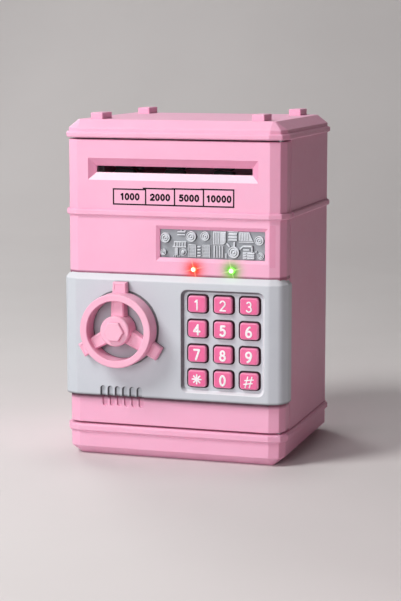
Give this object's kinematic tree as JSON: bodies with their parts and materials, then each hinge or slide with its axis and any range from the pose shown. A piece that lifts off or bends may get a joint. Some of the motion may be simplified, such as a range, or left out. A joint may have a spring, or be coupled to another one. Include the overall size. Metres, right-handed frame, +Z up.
{
  "type": "toy safe coin bank",
  "caption": "Upright toy safe money box with a hinged keypad door, a handwheel latch, a bill slot with a roller feed and a hollow compartment for coins and notes.",
  "frame": {"origin": "centre of the case's flat bottom face, on the surface it stands on", "axes": "+Z up along the tallest extent, front and door towards -Y, +X to the viewer's right"},
  "size_m": [0.1246, 0.1247, 0.1849],
  "materials": {
    "case_plastic": "smooth moulded ABS with a soft satin surface",
    "panel_plastic": "satin light grey moulded plastic",
    "wheel_plastic": "satin pink moulded plastic",
    "key_plastic": "deeper pink keys with raised white figures",
    "relief_silver": "silver painted moulded relief",
    "red_lens": "lit red lens",
    "green_lens": "lit green lens",
    "inner_plastic": "plain white moulded plastic",
    "cam_plastic": "white acetal",
    "gear_plastic": "white acetal",
    "roller_rubber": "black rubber sleeve",
    "silicone": "translucent grey silicone",
    "board": "green solder mask",
    "speaker_dark": "black cone and magnet",
    "steel": "zinc plated",
    "spring_steel": "nickel plated contact",
    "battery_jacket": "plain dark jacket with a copper end"
  },
  "bodies": {
    "case": {"body_shell": "case_plastic", "top_cover": "case_plastic", "base_tray": "case_plastic", "base_screws": "steel", "lid_screws": "steel", "hinge_pin_upper": "steel", "hinge_pin_lower": "steel", "latch_keeper": "steel"},
    "door": {"door_shell": "case_plastic", "front_panel": "panel_plastic", "panel_screws": "steel", "relief_plate": "relief_silver", "red_led": "red_lens", "green_led": "green_lens", "circuit_board": "board", "keypad_membrane": "silicone", "speaker": "speaker_dark", "lock_solenoid": "steel", "inner_cover": "inner_plastic", "cover_screws": "steel", "battery_cover": "inner_plastic", "battery_screw": "steel", "battery_upper": "battery_jacket", "battery_middle": "battery_jacket", "battery_lower": "battery_jacket", "battery_contacts": "spring_steel", "feed_frame": "inner_plastic", "feed_motor": "steel", "feed_guard": "inner_plastic"},
    "wheel": {"handwheel": "wheel_plastic", "latch_cam": "cam_plastic", "wheel_screw": "steel"},
    "plunger": {"lock_plunger": "steel"},
    "drive_roller": {"drive_shaft": "steel", "drive_rollers": "roller_rubber", "drive_gear": "gear_plastic"},
    "idler_roller": {"idler_shaft": "steel", "idler_rollers": "roller_rubber"},
    "pinion": {"motor_pinion": "gear_plastic"},
    "key_1": {"key_1": "key_plastic"},
    "key_2": {"key_2": "key_plastic"},
    "key_3": {"key_3": "key_plastic"},
    "key_4": {"key_4": "key_plastic"},
    "key_5": {"key_5": "key_plastic"},
    "key_6": {"key_6": "key_plastic"},
    "key_7": {"key_7": "key_plastic"},
    "key_8": {"key_8": "key_plastic"},
    "key_9": {"key_9": "key_plastic"},
    "key_star": {"key_star": "key_plastic"},
    "key_0": {"key_0": "key_plastic"},
    "key_hash": {"key_hash": "key_plastic"}
  },
  "joints": [
    {"name": "door_hinge", "type": "hinge", "parent": "case", "child": "door", "pos_m": [0.057, -0.046, 0.095], "axis": [0, 0, 1], "range_deg": [0, 105]},
    {"name": "handwheel_turn", "type": "hinge", "parent": "door", "child": "wheel", "pos_m": [-0.027, -0.058, 0.0712], "axis": [0, 1, 0], "range_deg": [0, 90]},
    {"name": "lock_plunger_slide", "type": "slide", "parent": "door", "child": "plunger", "axis": [-1, 0, 0], "range_m": [0, 0.003], "stiffness_N_per_m": 40},
    {"name": "drive_roller_spin", "type": "hinge", "parent": "door", "child": "drive_roller", "pos_m": [0, -0.0434, 0.15085], "axis": [1, 0, 0], "continuous": true},
    {"name": "idler_roller_spin", "type": "hinge", "parent": "door", "child": "idler_roller", "pos_m": [0, -0.0434, 0.15885], "axis": [1, 0, 0], "continuous": true},
    {"name": "pinion_spin", "type": "hinge", "parent": "door", "child": "pinion", "pos_m": [0.051, -0.0434, 0.14165], "axis": [1, 0, 0], "continuous": true},
    {"name": "key_1_press", "type": "slide", "parent": "door", "child": "key_1", "axis": [0, 1, 0], "range_m": [0, 0.001], "stiffness_N_per_m": 400},
    {"name": "key_2_press", "type": "slide", "parent": "door", "child": "key_2", "axis": [0, 1, 0], "range_m": [0, 0.001], "stiffness_N_per_m": 400},
    {"name": "key_3_press", "type": "slide", "parent": "door", "child": "key_3", "axis": [0, 1, 0], "range_m": [0, 0.001], "stiffness_N_per_m": 400},
    {"name": "key_4_press", "type": "slide", "parent": "door", "child": "key_4", "axis": [0, 1, 0], "range_m": [0, 0.001], "stiffness_N_per_m": 400},
    {"name": "key_5_press", "type": "slide", "parent": "door", "child": "key_5", "axis": [0, 1, 0], "range_m": [0, 0.001], "stiffness_N_per_m": 400},
    {"name": "key_6_press", "type": "slide", "parent": "door", "child": "key_6", "axis": [0, 1, 0], "range_m": [0, 0.001], "stiffness_N_per_m": 400},
    {"name": "key_7_press", "type": "slide", "parent": "door", "child": "key_7", "axis": [0, 1, 0], "range_m": [0, 0.001], "stiffness_N_per_m": 400},
    {"name": "key_8_press", "type": "slide", "parent": "door", "child": "key_8", "axis": [0, 1, 0], "range_m": [0, 0.001], "stiffness_N_per_m": 400},
    {"name": "key_9_press", "type": "slide", "parent": "door", "child": "key_9", "axis": [0, 1, 0], "range_m": [0, 0.001], "stiffness_N_per_m": 400},
    {"name": "key_star_press", "type": "slide", "parent": "door", "child": "key_star", "axis": [0, 1, 0], "range_m": [0, 0.001], "stiffness_N_per_m": 400},
    {"name": "key_0_press", "type": "slide", "parent": "door", "child": "key_0", "axis": [0, 1, 0], "range_m": [0, 0.001], "stiffness_N_per_m": 400},
    {"name": "key_hash_press", "type": "slide", "parent": "door", "child": "key_hash", "axis": [0, 1, 0], "range_m": [0, 0.001], "stiffness_N_per_m": 400}
  ],
  "couplings": [
    {"joint": "idler_roller_spin", "follows": "drive_roller_spin", "ratio": -1.2727},
    {"joint": "pinion_spin", "follows": "drive_roller_spin", "ratio": -2}
  ]
}
